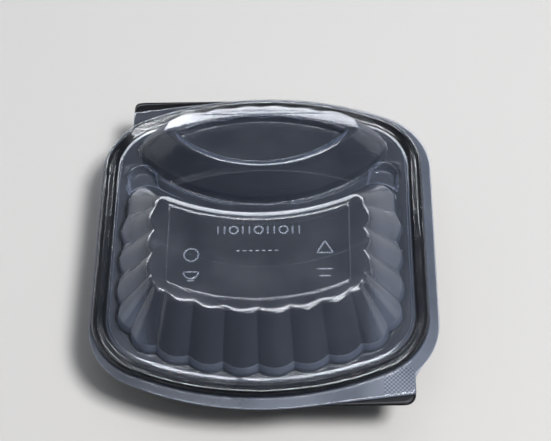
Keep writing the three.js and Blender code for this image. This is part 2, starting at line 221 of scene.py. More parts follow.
def cast(starts, directions, outline, farthest=True):
    """How far each ray goes before it meets a closed outline: start + t direction = a + s (b - a)."""
    a = outline[None, :, :]
    side = np.roll(outline, -1, axis=0)[None, :, :] - a
    d = directions[:, None, :]
    gap = a - starts[:, None, :]
    cross = d[..., 0] * side[..., 1] - d[..., 1] * side[..., 0]
    cross = np.where(np.abs(cross) < 1e-9, 1e-9, cross)
    t = (gap[..., 0] * side[..., 1] - gap[..., 1] * side[..., 0]) / cross
    s = (gap[..., 0] * d[..., 1] - gap[..., 1] * d[..., 0]) / cross
    hit = (s >= -1e-6) & (s <= 1 + 1e-6) & (t > 0)
    if farthest:
        return np.where(hit, t, -1.0).max(axis=1)
    return np.where(hit, t, 1e6).min(axis=1)


def lobe(fraction):
    """4x(1-x) with x the distance to the nearer cusp, which is rounded a little at the cusp."""
    near = np.minimum(fraction, 1 - fraction)
    soft = np.sqrt(near**2 + CUSP**2) - CUSP
    return 4 * soft * (1 - soft)


# places along one lobe, closer together near its cusps
LOBE_STOPS = np.array(
    [0, 0.012, 0.03, 0.06, 0.11, 0.19, 0.3, 0.42, 0.5, 0.58, 0.7, 0.81, 0.89, 0.94, 0.97, 0.988]
)


def back_corner(shape):
    """The centre of a compartment's back corner, and the angle about the valley's centre at
    which its arc meets the valley's."""
    bx = shape["half"] - shape["back_corner"]
    reach = math.sqrt((shape["valley"] + shape["back_corner"]) ** 2 - bx**2)
    return bx, VALLEY_CENTRE - reach, math.atan2(bx, reach)


def compartment(shape, depth):
    """Half a compartment outline with its outward directions: a front arc, a corner arc and a
    straight side with lobes swelling out between equally spaced cusps, then a plain back corner
    and the hollow arc round the valley."""
    q = math.pi / 2

    def spine(s):
        cx = s["half"] - s["corner"]
        reach = math.sqrt((s["front"] - s["corner"]) ** 2 - cx**2)
        return cx, FRONT_CENTRE - reach, math.atan2(cx, reach)

    _, foot_y, foot_half = spine(MAIN_FOOT)
    first = MAIN_FOOT["front"] * foot_half
    second = MAIN_FOOT["corner"] * (q - foot_half)
    third = MAIN_FOOT["last"] - foot_y
    cx, corner_y, half = spine(shape)
    along = (np.arange(LOBES)[:, None] + LOBE_STOPS[None, :]).ravel() / LOBES * (first + second + third)
    swell = depth * np.tile(lobe(LOBE_STOPS), LOBES)
    a = np.where(along < first, half * along / first, half + (q - half) * (along - first) / second)
    a = np.minimum(a, q)
    way = np.stack([np.sin(a), -np.cos(a)], axis=1)
    front_r = shape["front"] + swell * shape["front"] / MAIN_FOOT["front"]
    corner_r = shape["corner"] + swell * shape["corner"] / MAIN_FOOT["corner"]
    on_front = front_r[:, None] * way + [0, FRONT_CENTRE]
    on_corner = corner_r[:, None] * way + [cx, corner_y]
    rise = (along - first - second) / third
    on_side = np.stack([shape["half"] + swell, corner_y + (shape["last"] - corner_y) * rise], axis=1)
    pick = along[:, None]
    points = np.where(pick < first, on_front, np.where(pick < first + second, on_corner, on_side))
    bx, by, meet = back_corner(shape)
    valley = shape["valley"]
    turn = np.linspace(0, q + meet, CORNER_STEPS, endpoint=False)
    hollow = np.linspace(meet, 0, HOLLOW_STEPS)
    points = np.concatenate([
        points,
        line((shape["half"], shape["last"]), (shape["half"], by), SIDE_STEPS),
        arc(bx, by, shape["back_corner"], 0, q + meet, CORNER_STEPS),
        np.stack([valley * np.sin(hollow), VALLEY_CENTRE - valley * np.cos(hollow)], axis=1),
    ])
    ways = np.concatenate([
        way,
        np.tile([1.0, 0.0], (SIDE_STEPS, 1)),
        np.stack([np.cos(turn), np.sin(turn)], axis=1),
        np.stack([-np.sin(hollow), np.cos(hollow)], axis=1),
    ])
    return points, ways


BACK_CORNER_START = LOBES * len(LOBE_STOPS) + SIDE_STEPS
# the shoulder follows the foot a few points round each back corner
SHOULDER_TURN = BACK_CORNER_START + 5


def shifted(foot, run, share):
    """Each size of an outline, moved by `share` of its whole run."""
    return {key: foot[key] + run[key] * share for key in foot}


def pointed_oval(shape, depth, front_steps=26, tip_steps=14):
    """Half an oval: a front arc, a rounded tip, and a back arc with lobes between cusps."""
    d1, d2 = shape["front"] - shape["tip"], shape["back"] - shape["tip"]
    apart = shape["front_y"] - shape["back_y"]
    rise = (d2**2 - d1**2 + apart**2) / (2 * apart)
    tip_x = math.sqrt(d2**2 - rise**2)
    tip_y = shape["back_y"] + rise
    front_angle = math.atan2(tip_x, shape["front_y"] - tip_y)
    back_angle = math.atan2(tip_x, rise)
    q = math.pi / 2
    f = np.linspace(0, front_angle, front_steps, endpoint=False)
    along = np.append((np.arange(BACK_LOBES)[:, None] + LOBE_STOPS[None, :]).ravel() / BACK_LOBES, 1.0)
    swell = depth * np.append(np.tile(lobe(LOBE_STOPS), BACK_LOBES), 0.0)
    b = back_angle * (1 - along)
    r = shape["back"] + swell
    return np.concatenate([
        np.stack([shape["front"] * np.sin(f), shape["front_y"] - shape["front"] * np.cos(f)], axis=1),
        arc(tip_x, tip_y, shape["tip"], front_angle - q, q - back_angle, tip_steps),
        np.stack([r * np.sin(b), shape["back_y"] + r * np.cos(b)], axis=1),
    ])


def lens_outline(offset):
    """Two arcs that meet in sharp points, grown by `offset`, anticlockwise from the left point."""
    near_y, far_y = LENS["near"] + LENS["near_radius"], LENS["far"] - LENS["far_radius"]
    near, far = LENS["near_radius"] + offset, LENS["far_radius"] + offset
    apart = near_y - far_y
    rise = (far**2 - near**2 + apart**2) / (2 * apart)
    tip_x = math.sqrt(far**2 - rise**2)
    near_angle, far_angle = math.atan2(tip_x, apart - rise), math.atan2(tip_x, rise)
    q = math.pi / 2
    return np.concatenate([
        arc(0, near_y, near, -q - near_angle, -q + near_angle, 52),
        arc(0, far_y, far, q - far_angle, q + far_angle, 40),
    ])


def panel_outline(offset):
    """The raised panel's edge: a front arc, small corners, straight sides and a back arc."""
    half, r, big = PANEL["half"] + offset, PANEL["corner"] + offset, PANEL["radius"] + offset
    centre_y = PANEL["front"] + PANEL["radius"]
    cx = half - r
    reach = math.sqrt((big - r) ** 2 - cx**2)
    turn = math.atan2(cx, reach)
    q = math.pi / 2
    valley = MAIN_FOOT["valley"] + MAIN_RUN["valley"] + PANEL["back"] - offset
    back = np.linspace(math.asin(half / valley), 0, 24)
    back_points = np.stack([valley * np.sin(back), VALLEY_CENTRE - valley * np.cos(back)], axis=1)
    return mirrored(np.concatenate([
        arc(0, centre_y, big, -q, -q + turn, 26),
        arc(cx, centre_y - reach, r, -q + turn, 0, 8),
        line((half, centre_y - reach), back_points[0], 10),
        back_points,
    ]))


def even(points, count):
    """`count` points at even distances along an open path."""
    lengths = np.append(0, np.cumsum(np.linalg.norm(np.diff(points, axis=0), axis=1)))
    want = np.linspace(0, lengths[-1], count)
    return np.stack([np.interp(want, lengths, points[:, k]) for k in range(points.shape[1])], axis=1)


def softened(points, rounds=5):
    """Moves each inner point of a path halfway to the middle of its neighbours, a few times."""
    for _ in range(rounds):
        points[1:-1] = points[1:-1] / 2 + (points[:-2] + points[2:]) / 4
    return points


# ------------------------------------------------------------------ wall sections


def section(corners, radii, longest=4.0, steps=5):
    """A path through (across, z, ...) corners, each swapped for a quadratic curve that starts
    `radius` before it and ends `radius` after it. Long straight stretches are divided."""
    corners = np.array(corners, float)
    reach = np.linalg.norm(np.diff(corners[:, :2], axis=0), axis=1)
    pieces = [corners[:1]]
    for k in range(1, len(corners) - 1):
        r = min(radii[k - 1], 0.48 * reach[k - 1], 0.48 * reach[k])
        start = corners[k] + (corners[k - 1] - corners[k]) * r / reach[k - 1]
        stop = corners[k] + (corners[k + 1] - corners[k]) * r / reach[k]
        pieces.append(bend(start, corners[k], stop, steps))
    pieces.append(corners[-1:])
    path = np.concatenate(pieces)
    gaps = np.linalg.norm(np.diff(path[:, :2], axis=0), axis=1)
    filled = [path[:1]]
    for k, gap in enumerate(gaps):
        parts = max(1, int(math.ceil(gap / longest)))
        t = np.arange(1, parts + 1)[:, None] / parts
        filled.append(path[k] + (path[k + 1] - path[k]) * t)
    return np.concatenate(filled)


def rings(path, outline):
    """Stacks outline(across, depth) at each z of a section. Returns (rows, points, 3)."""
    rows = []
    for across, z, depth in path:
        plan = outline(across, depth)
        rows.append(np.column_stack([plan, np.full(len(plan), z)]))
    return np.array(rows)


# ------------------------------------------------------------------ sheets


class Sheet:
    """Patches that share their edge points, gathered and merged into one thin surface."""

    def __init__(self):
        self.points, self.faces, self.films, self.count = [], [], [], 0

    def strip(self, rows, closed=True, film=0.0):
        """Quads between neighbouring rows, given outermost first and each anticlockwise. `film`
        says how milky each point's film is: the film's real haze, and painted light on the dome's
        foot, the side lobes and the right of the flange."""
        k, n, _ = rows.shape
        i = np.arange(n if closed else n - 1)
        j = (i + 1) % n
        base = (np.arange(k - 1) * n)[:, None]
        quads = np.stack([base + i, base + j, base + n + j, base + n + i], axis=2).reshape(-1, 4)
        self.faces += (quads + self.count).tolist()
        self.points.append(rows.reshape(-1, 3))
        self.films.append(np.broadcast_to(film, (k, n)).ravel())
        self.count += k * n

    def flat(self, outer, *holes):
        """Triangles that fill a level region between an outer edge and the holes in it."""
        loops = [outer, *holes]
        triangles = tessellate_polygon([[Vector(p) for p in loop] for loop in loops])
        points = np.concatenate(loops)
        tri = np.array(triangles)
        a, b, c = (points[tri[:, k], :2] for k in range(3))
        turn = (b - a)[:, 0] * (c - a)[:, 1] - (b - a)[:, 1] * (c - a)[:, 0]
        tri[turn < 0] = tri[turn < 0][:, ::-1]
        self.faces += (tri[np.abs(turn) > 1e-7] + self.count).tolist()
        self.points.append(points)
        self.films.append(np.zeros(len(points)))
        self.count += len(points)

    def build(self, name, thickness):
        """One smooth object, merged at shared edges, its wall grown inwards from the sheet."""
        points = (np.concatenate(self.points) + SHIFT) * MM
        key = np.round(points / MERGE).astype(np.int64)
        _, first, where = np.unique(key, axis=0, return_index=True, return_inverse=True)
        where = where.ravel()
        faces = [[int(where[v]) for v in face] for face in self.faces]
        faces = [list(dict.fromkeys(face)) for face in faces]
        faces = [face for face in faces if len(face) > 2]
        mesh = bpy.data.meshes.new(name)
        mesh.from_pydata(points[first].tolist(), [], faces)
        mesh.validate()
        mesh.update()
        mesh.shade_smooth()
        # the film attribute holds the film's real haze and the painted light alike
        film = mesh.attributes.new("film", "FLOAT", "POINT")
        film.data.foreach_set("value", np.concatenate(self.films)[first])
        piece = bpy.data.objects.new(name, mesh)
        bpy.context.collection.objects.link(piece)
        wall = piece.modifiers.new("wall", "SOLIDIFY")
        wall.thickness = thickness
        wall.offset = -1
        return piece


def at(plan, z):
    """Plan points lifted to a height, or to a height each."""
    return np.column_stack([plan, np.broadcast_to(z, len(plan))])


# ------------------------------------------------------------------ the rim and flange


def tab_outline(corners, radius, roots):
    """A tab's edge with its outer corners rounded, run back to two points under the flange."""
    chain = [np.array(p, float) for p in corners]
    pieces = [chain[0][None, :]]
    for before, here, after in zip(chain, chain[1:], chain[2:]):
        start = here + (before - here) / np.linalg.norm(before - here) * radius
        stop = here + (after - here) / np.linalg.norm(after - here) * radius
        pieces.append(bend(start, here, stop, 6))
    pieces.append(chain[-1][None, :])
    return np.concatenate(pieces + [np.array(roots, float)])


def flange_edge(starts, ways, inset, tabs):
    """Where each ray from the rim leaves the flange or a tab, whichever is farther out."""
    edge = cast(starts, ways, bulged(FLANGE, -inset, *RAY_STEPS))
    for tab in tabs:
        edge = np.maximum(edge, cast(starts, ways, tab))
    return starts + ways * edge[:, None]


def rim_rows(path, edge_z, inset, tabs):
    """Rim rings from the flange's cut edge inwards. The flange ring is the ray-cast edge, and
    the rest are the crest outline moved by each step of the section."""
    inner = rings(path, lambda across, depth: bulged(CREST, across))
    starts = inner[0][:, :2]
    outward = bulged(CREST, 1.0) - bulged(CREST, 0.0)
    edge = flange_edge(starts, outward, inset, tabs)
    t = np.linspace(0, 1, FLANGE_STEPS + 1)[:-1, None, None]
    flat = (1 - t) * at(edge, edge_z)[None] + t * inner[0][None]
    return np.concatenate([flat, inner])


LID_TABS = [
    tab_outline(
        [(18, -111.9), (93.8, -102.9), (93.8, -96), (93.9, -91.5), (99, -83.6)], 1.6, [(80, -60), (20, -80)]
    ),
    tab_outline([(-28, 117.2), (-88, 110), (-88, 70)], 1.6, [(-60, 60), (-20, 90)]),
]
TRAY_TABS = [
    tab_outline([(19, -109.7), (93.8, -109.7), (93.8, -80)], 8.0, [(60, -60), (20, -80)]),
    tab_outline([(-13, 118.6), (-88, 118.6), (-88, 80)], 5.0, [(-60, 60), (-20, 90)]),
]


def lid_rim(sheet):
    """The flange, the snap bead and the groove inside it, down to the groove's floor."""
    path = section(
        [(1.6, LID_FLANGE, 0), (1.0, LID_FLANGE, 0), (0.6, -3, 0), (0, -1, 0), (-1, 0, 0), (-3, 0, 0),
         (-6.0, -2.5, 0), (-7.2, GROOVE_FLOOR, 0), (-7.7, GROOVE_FLOOR, 0)],
        [0.5, 1, 0.8, 0.8, 1.1, 0.6, 0.2],
    )
    rows = rim_rows(path, LID_FLANGE, 0.0, LID_TABS)
    # a small catch, a bump of height e^-(dx^2 + dy^2), stands on the crest at the right
    x, y = rows[..., 0], rows[..., 1]
    along, over = (y - CATCH["y"]) / CATCH["long"], (x - CATCH["x"]) / CATCH["wide"]
    rows[..., 2] += CATCH["height"] * np.exp(-(along**2) - (over**2))
    # the flange is hardly drawn, so it stays milky, and milkier still at the front grip; it is also
    # painted lighter towards the right, a painted light where the key light falls; the bead is drawn clear
    level = rows[..., 2] < LID_FLANGE + FLANGE_BEND
    # painted light: the flange grows milkier towards the right, where the key light falls
    painted_light_rightwards = ramp(x, -80, 110)
    at_grip = ramp(x, 50, 30) * ramp(-y, 60, 30)
    milky = HAZE_AND_PAINTED_LIGHT["flange"] + HAZE_AND_PAINTED_LIGHT["flange_painted_light_right"] * painted_light_rightwards + HAZE_AND_PAINTED_LIGHT["flange_grip"] * at_grip
    sheet.strip(rows, film=np.where(level, milky, HAZE_AND_PAINTED_LIGHT["bead"]))
    return rows[-1]


# ------------------------------------------------------------------ the lid


def main_outline(across, depth):
    """The main dome's outline `across` millimetres in from its foot, measured at the side."""
    half, _ = compartment(shifted(MAIN_FOOT, MAIN_RUN, across / MAIN_REACH), LOBE_DEPTH * depth)
    return mirrored(half)


def back_outline(across, depth):
    """The back dome's outline, `across` tenths of the way from its foot to its crown."""
    share = across / BACK_REACH
    shape = {key: BACK_FOOT[key] + (BACK_CROWN[key] - BACK_FOOT[key]) * share for key in BACK_FOOT}
    return mirrored(pointed_oval(shape, BACK_LOBE_DEPTH * depth))


def sink_back_edge(rows):
    """Rounds the main dome's long back edge: z = top - fall (radius - r)^2, where r is the
    distance from the valley's centre, wherever that is lower than the wall already there."""
    r = np.hypot(rows[..., 0], rows[..., 1] - VALLEY_CENTRE)
    fallen = MAIN_TOP - BACK_EDGE_FALL * np.clip(BACK_EDGE_RADIUS - r, 0, None) ** 2
    rows[..., 2] = np.minimum(rows[..., 2], fallen)


def crown_fall(x, y):
    """How far the back dome's crown falls behind its lens: fall d^2, with d the distance past
    a level shelf round the lens's far arc, faded in from front to back."""
    far_centre = LENS["far"] - LENS["far_radius"]
    past = np.hypot(x, y - far_centre) - LENS["far_radius"] - CROWN["shelf"]
    behind = ramp(y, CROWN["start_y"], CROWN["fade"])
    return CROWN["fall"] * np.clip(past, 0, CROWN["reach"]) ** 2 * behind


def gutter_curves(count_ear=46, count_arc=44):
    """The valley's near and far edges, from the right end to the middle, matched point to point.
    The near edge keeps clear of the main dome's foot. The far edge goes round the ear, then
    along an arc about the valley's centre that is set back a little in the middle."""
    bx, by, meet = back_corner(MAIN_FOOT)
    r, start = MAIN_FOOT["back_corner"] + GUTTER["clearance"], math.radians(EAR["start"])
    near_ear = arc(bx, by, r, start, math.pi / 2 + meet, count_ear, last=True)
    swing = np.linspace(meet, 0, count_arc)
    near_r = MAIN_FOOT["valley"] - GUTTER["clearance"]
    near_arc = np.stack([near_r * np.sin(swing), VALLEY_CENTRE - near_r * np.cos(swing)], axis=1)
    ear_x, ear_y, ear_r = EAR["x"], EAR["y"], EAR["radius"]
    side = bend(near_ear[0], (ear_x + ear_r, ear_y - EAR["lead"]), (ear_x + ear_r, ear_y), 14)
    round_ear = arc(ear_x, ear_y, ear_r, 0, math.radians(EAR["end"]), 30)
    far_angle = math.atan2(ear_x - ear_r + EAR["join"], VALLEY_CENTRE - ear_y)
    swing = np.linspace(far_angle, 0, 60)
    past_step = (GUTTER["far"] * np.sin(swing) - SET_BACK["half"]) / SET_BACK["blend"]
    far_r = GUTTER["far"] - SET_BACK["depth"] / (1 + np.exp(past_step))
    far_arc = np.stack([far_r * np.sin(swing), VALLEY_CENTRE - far_r * np.cos(swing)], axis=1)
    ear = np.concatenate([side, round_ear])
    whole = softened(even(np.concatenate([ear, far_arc]), 260))
    split = int(np.argmin(np.linalg.norm(whole - far_arc[0], axis=1)))
    far = np.concatenate([even(whole[: split + 1], count_ear)[:-1], even(whole[split:], count_arc)])
    near = np.concatenate([near_ear[:-1], near_arc])
    far[0] = near[0]
    return near, far


def gutter_rows():
    """Cross rows of the valley: point = near + t (far - near), sunk by a smooth step over the
    first and last few millimetres, and less deep where the valley is narrow."""
    near, far = gutter_curves()
    flip = np.array([-1.0, 1.0])
    near = np.concatenate([near, near[-2::-1] * flip])
    far = np.concatenate([far, far[-2::-1] * flip])
    width = np.linalg.norm(far - near, axis=1)
    scale = np.minimum(1.0, width / GUTTER["full_width"])
    # millimetres from either edge, and the share of the depth that is reached there
    steps = np.array([0.0, 0.25, 0.5, 0.9, 1.4, 2.0, 2.6, 3.1, 3.5, 3.8])
    fall = np.array([0.0, 0.0, 0.03, 0.14, 0.36, 0.64, 0.86, 0.965, 1.0, 1.0])
    safe = np.maximum(width, 1e-6)
    near_t = steps[:, None] * scale / safe
    middle = np.linspace(0, 1, GUTTER_MIDDLE + 2)[1:-1, None]
    inner = near_t[-1] + (1 - 2 * near_t[-1]) * middle
    t = np.concatenate([near_t, inner, 1 - near_t[::-1]])
    sunk = np.concatenate([fall, np.ones(GUTTER_MIDDLE), fall[::-1]])
    plan = near[None] + t[..., None] * (far - near)[None]
    z = LID_FLOOR - GUTTER["depth"] * sunk[:, None] * scale[None] * np.ones_like(t)
    return np.concatenate([plan, z[..., None]], axis=2)


def lid_shoulder(sheet, foot_ring, groove):
    """The sloped band inside the rim's groove. Along the front and sides it ends at the main
    dome's foot; round the back it ends at the lid's floor. Each row lies at a fixed share of
    the way across, so the band narrows where the lobes reach out to it."""
    count, turn = len(foot_ring), SHOULDER_TURN
    _, ways = compartment(MAIN_FOOT, LOBE_DEPTH)
    ways = mirrored(ways)
    order = np.concatenate([np.arange(count - turn, count), np.arange(0, turn + 1)])
    inner = foot_ring[order]
    guide = bulged(CREST, SHOULDER_FAR, *RAY_STEPS)
    far = inner[:, :2] + ways[order] * cast(inner[:, :2], ways[order], guide, False)[:, None]
    back_far, back_in = bulged(CREST, SHOULDER_FAR), bulged(CREST, SHOULDER_BACK)
    angle = np.arctan2(back_far[:, 1], back_far[:, 0])
    limits = np.arctan2(far[[0, -1], 1], far[[0, -1], 0])
    right, left = limits[1] + 0.02, limits[0] - 0.02
    keep = (angle > right) & (angle < left)
    back_far, back_in = back_far[keep], back_in[keep]
    sort = np.argsort(angle[keep])
    back_far, back_in = back_far[sort], back_in[sort]
    outer = np.concatenate([far, back_far])
    edge = np.concatenate([inner, at(back_in, LID_FLOOR)])
    width = np.linalg.norm(edge[:, :2] - outer, axis=1)
    fit = np.minimum(1.0, width / SHOULDER_WIDTH)
    path = section(
        [(0, GROOVE_FLOOR, 0), (0.25, GROOVE_FLOOR, 0), (0.5, -2.15, 0), (2.5, -1.68, 0),
         (2.75, LID_FLOOR, 0), (2.95, LID_FLOOR, 0)],
        [0.1, 0.2, 0.2, 0.1], longest=0.8,
    )
    across = path[:-1, 0][:, None] * fit[None] / width[None]
    plan = outer[None] + across[..., None] * (edge[:, :2] - outer)[None]
    z = np.broadcast_to(path[:-1, 1][:, None], across.shape)
    rows = np.concatenate([np.concatenate([plan, z[..., None]], axis=2), edge[None]])
    sheet.strip(rows, film=HAZE_AND_PAINTED_LIGHT["shoulder"])
    sheet.flat(groove, rows[0])
    # the floor's own edge: round the back, then along the valley side of the dome's foot
    rest = foot_ring[turn : count - turn + 1]
    return np.concatenate([edge[len(inner) :], rest[::-1]])


def lid_sheet():
    """The whole lid as one sheet, its top surface on the CAD lid's."""
    sheet = Sheet()
    groove = lid_rim(sheet)

    # the corners of each section are (across, height, share of the lobes' depth)
    main_path = section(
        [(-0.5, LID_FLOOR, 1), (0, LID_FLOOR, 1), (2.0, 5.5, 1), (22.1, MAIN_TOP, 0.9),
         (25.9, MAIN_TOP, 0.7), (26.2, MAIN_TOP, 0.65)],
        [0.5, 1.2, 3.6, 0.2],
    )
    main = rings(main_path, main_outline)
    sink_back_edge(main)
    # painted light on the dome's wall: the foot band is made milky as a painted reflection of the pale
    # table in front, and the lobes at the sides are made milky as painted light, more on the left, where
    # the key light at the right does not reach
    x, z = main[..., 0], main[..., 2]
    raised = z > LID_FLOOR + FOOT_BEND
    low = raised & (z < FOOT_TOP)
    # painted light on the side lobes, stronger on the left
    side_lobe_painted_light = ramp(np.abs(x), 64, 12) * (raised & (z < MAIN_TOP - CROWN_BEND))
    side = (HAZE_AND_PAINTED_LIGHT["side"] - HAZE_AND_PAINTED_LIGHT["left_side_painted_light"] * np.sign(x)) * side_lobe_painted_light
    sheet.strip(main, film=np.where(low, HAZE_AND_PAINTED_LIGHT["foot"], side))
    floor_edge = lid_shoulder(sheet, main[0], groove)

    back_path = section(
        [(-0.8, LID_FLOOR, 1), (-0.5, LID_FLOOR, 1), (0, LID_FLOOR, 1), (1, 3.5, 1),
         (9.4, BACK_TOP, 0.9), (11.9, BACK_TOP, 0.6), (12.2, BACK_TOP, 0.55)],
        [0.2, 0.6, 1.2, 4.2, 0.1],
    )
    back = rings(back_path, back_outline)
    share = ramp(back[..., 2], CROWN["wall"], BACK_TOP - CROWN["wall"])
    back[..., 2] -= share * crown_fall(back[..., 0], back[..., 1])
    sheet.strip(back)

    gutter = gutter_rows()
    sheet.strip(gutter, closed=False)
    near, far = gutter[0], gutter[-1]
    hole = np.concatenate([near, far[-2:0:-1]])
    sheet.flat(floor_edge, back[0], hole)

    level = MAIN_TOP + PANEL["rise"] / 2
    frame_line = level + PANEL["line"]
    panel_path = section(
        [(1.1, MAIN_TOP, 0), (0.8, MAIN_TOP, 0), (0.4, frame_line, 0), (-0.1, frame_line, 0),
         (-0.6, level, 0), (-0.9, level, 0)],
        [0.15, 0.25, 0.25, 0.15], steps=4,
    )
    panel = rings(panel_path, lambda across, depth: panel_outline(across))
    sheet.strip(panel)
    sheet.flat(main[-1], panel[0])
    sheet.flat(panel[-1])

    low = BACK_TOP - LENS["depth"]
    lens_path = section(
        [(1.3, BACK_TOP, 0), (1.15, BACK_TOP, 0), (0, BACK_TOP, 0), (-0.8, low, 0), (-1.5, low, 0),
         (-1.8, low, 0)],
        [0.05, 0.95, 0.5, 0.1], longest=2.0,
    )
    lens = rings(lens_path, lambda across, depth: lens_outline(across))
    sheet.strip(lens)
    sheet.flat(back[-1], lens[0])
    sheet.flat(lens[-1])
    return sheet


# ------------------------------------------------------------------ the tray


def bowl_outline(inset, depth):
    """The large bowl's outline `inset` millimetres in from its rim, steeper at the valley.
    `depth` is 0, since a bowl has no lobes."""
    run = {"half": -1, "front": -1, "corner": -1, "valley": 0.6, "back_corner": -0.3, "last": 0}
    return mirrored(compartment(shifted(BOWL, run, inset), depth)[0])


def back_bowl_outline(inset, depth):
    """The small bowl's outline `inset` millimetres in from its rim, steeper at the valley.
    `depth` is 0, since a bowl has no lobes."""
    run = {"front": -0.6, "front_y": 0, "back": -1, "back_y": 0, "tip": -0.5}
    return mirrored(pointed_oval(shifted(BACK_BOWL, run, inset), depth))


def tray_sheet(thickness):
    """The tray as one sheet: flange, bead, deck and two bowls with soft floor edges."""
    sheet = Sheet()
    path = section(
        [(0.1, TRAY_FLANGE, 0), (-0.5, TRAY_FLANGE, 0), (-1, -3.4, 0), (-1.8, -1.6, 0),
         (-3, -1.4, 0), (-6.2, -3.9, 0), (-7.4, -4.8, 0), (-8.2, DECK, 0), (-8.7, DECK, 0), (-9.0, DECK, 0)],
        [0.4, 0.8, 0.6, 0.6, 0.6, 0.8, 0.3, 0.1],
    )
    rows = rim_rows(path, TRAY_FLANGE, 0.6, TRAY_TABS)
    sheet.strip(rows)
    floor = -DEPTH + thickness / MM
    wall = section(
        [(-0.5, DECK, 0), (-0.2, DECK, 0), (0.9, DECK, 0), (7.6, -39.6, 0), (10.3, -45, 0),
         (14.4, floor, 0), (16.4, floor, 0), (16.8, floor, 0)],
        [0.1, 0.8, 3, 2.5, 1.5, 0.2],
    )
    bowls = [rings(wall, bowl_outline), rings(wall, back_bowl_outline)]
    for bowl in bowls:
        sheet.strip(bowl)
        sheet.flat(bowl[-1])
    sheet.flat(rows[-1], bowls[0][0], bowls[1][0])
    return sheet


# ------------------------------------------------------------------ raised marks


def ridge(path, width, height, closed):
    """A raised line: a half-round section carried along a path, pinched to a point at open ends.
    Point = path + w sin(a) across + h cos(a) up."""
    path = np.array(path, float)
    if closed:
        along = np.roll(path, -1, axis=0) - np.roll(path, 1, axis=0)
    else:
        along = np.concatenate([path[1:], path[-1:]]) - np.concatenate([path[:1], path[:-1]])
    along /= np.maximum(np.linalg.norm(along, axis=1), 1e-9)[:, None]
    across = np.stack([along[:, 1], -along[:, 0]], axis=1)
    size = np.ones(len(path))
    if not closed:
        size[[0, -1]] = 0.25
    a = np.radians(np.array([-90, -50, 0, 50, 90.0]))
    plan = path[None] + (width / 2 * np.sin(a))[:, None, None] * (across * size[:, None])[None]
    z = (height * np.cos(a))[:, None] * size[None]
    return np.concatenate([plan, z[..., None]], axis=2)


def mark_paths():
    """Plain relief for the panel, as paths in plan: a row of rounds and bars, a row of dashes, a
    ring over a bowl at the left, and a triangle over two bars at the right."""
    closed, opened = [], []
    for k in range(7):
        x = -22.8 + 7.6 * k
        if k % 2:
            closed.append(arc(x, -9.5, 2.6, 0, math.tau, RING_STEPS))
        else:
            opened.append(even(np.array([[x - 2.0, -12.4], [x - 2.0, -6.6]]), 6))
            opened.append(even(np.array([[x + 2.0, -12.4], [x + 2.0, -6.6]]), 6))
    for k in range(7):
        opened.append(even(np.array([[-13.6 + 3.9 * k, -24.3], [-11.0 + 3.9 * k, -24.3]]), 5))
    closed.append(arc(-40.5, -27.0, 4.4, 0, math.tau, RING_STEPS))
    opened.append(arc(-40.2, -39.0, 4.6, math.pi, 2 * math.pi, 14, last=True))
    opened.append(even(np.array([[-44.9, -39.0], [-35.5, -39.0]]), 6))
    opened.append(even(np.array([[-42.7, -45.0], [-37.7, -45.0]]), 5))
    triangle = np.array([[35.6, -26.2], [45.2, -26.2], [40.4, -18.0], [35.6, -26.2]])
    closed.append(even(triangle, 25)[:-1])
    opened.append(even(np.array([[35.0, -37.6], [45.6, -37.6]]), 7))
    opened.append(even(np.array([[36.6, -42.4], [44.0, -42.4]]), 6))
    return closed, opened


def marks_sheet():
    """All the raised marks, standing on the panel."""
    sheet = Sheet()
    base = MAIN_TOP + PANEL["rise"] / 2 - MARK["sunk"]
    closed, opened = mark_paths()
    for paths, is_closed in ((closed, True), (opened, False)):
        for path in paths:
            rows = ridge(path, MARK["width"], MARK["height"], is_closed)
            rows[..., 2] += base
            sheet.strip(rows, closed=is_closed)
    return sheet


# ------------------------------------------------------------------ materials


def linear(code, alpha=1.0):
    """An sRGB hex colour as linear red, green, blue, alpha."""
    parts = [int(code[i : i + 2], 16) / 255 for i in (1, 3, 5)]
    return tuple(p / 12.92 if p <= 0.04045 else ((p + 0.055) / 1.055) ** 2.4 for p in parts) + (alpha,)


def add_node(tree, kind, inputs=None, **settings):
    """Adds one node, sets its fields, and links or sets its inputs."""
    made = tree.nodes.new(kind)
    for key, value in settings.items():
        setattr(made, key, value)
    for key, value in (inputs or {}).items():
        if isinstance(value, bpy.types.NodeSocket):
            tree.links.new(value, made.inputs[key])
        else:
            made.inputs[key].default_value = value
    return made


MATH = "ShaderNodeMath"
# noise stays mostly between these values
CLOUD_RANGE = {"From Min": 0.3, "From Max": 0.7}


def blank(name):
    """An empty material with its node tree."""
    material = bpy.data.materials.new(name)
    material.use_nodes = True
    material.node_tree.nodes.clear()
    return material, material.node_tree


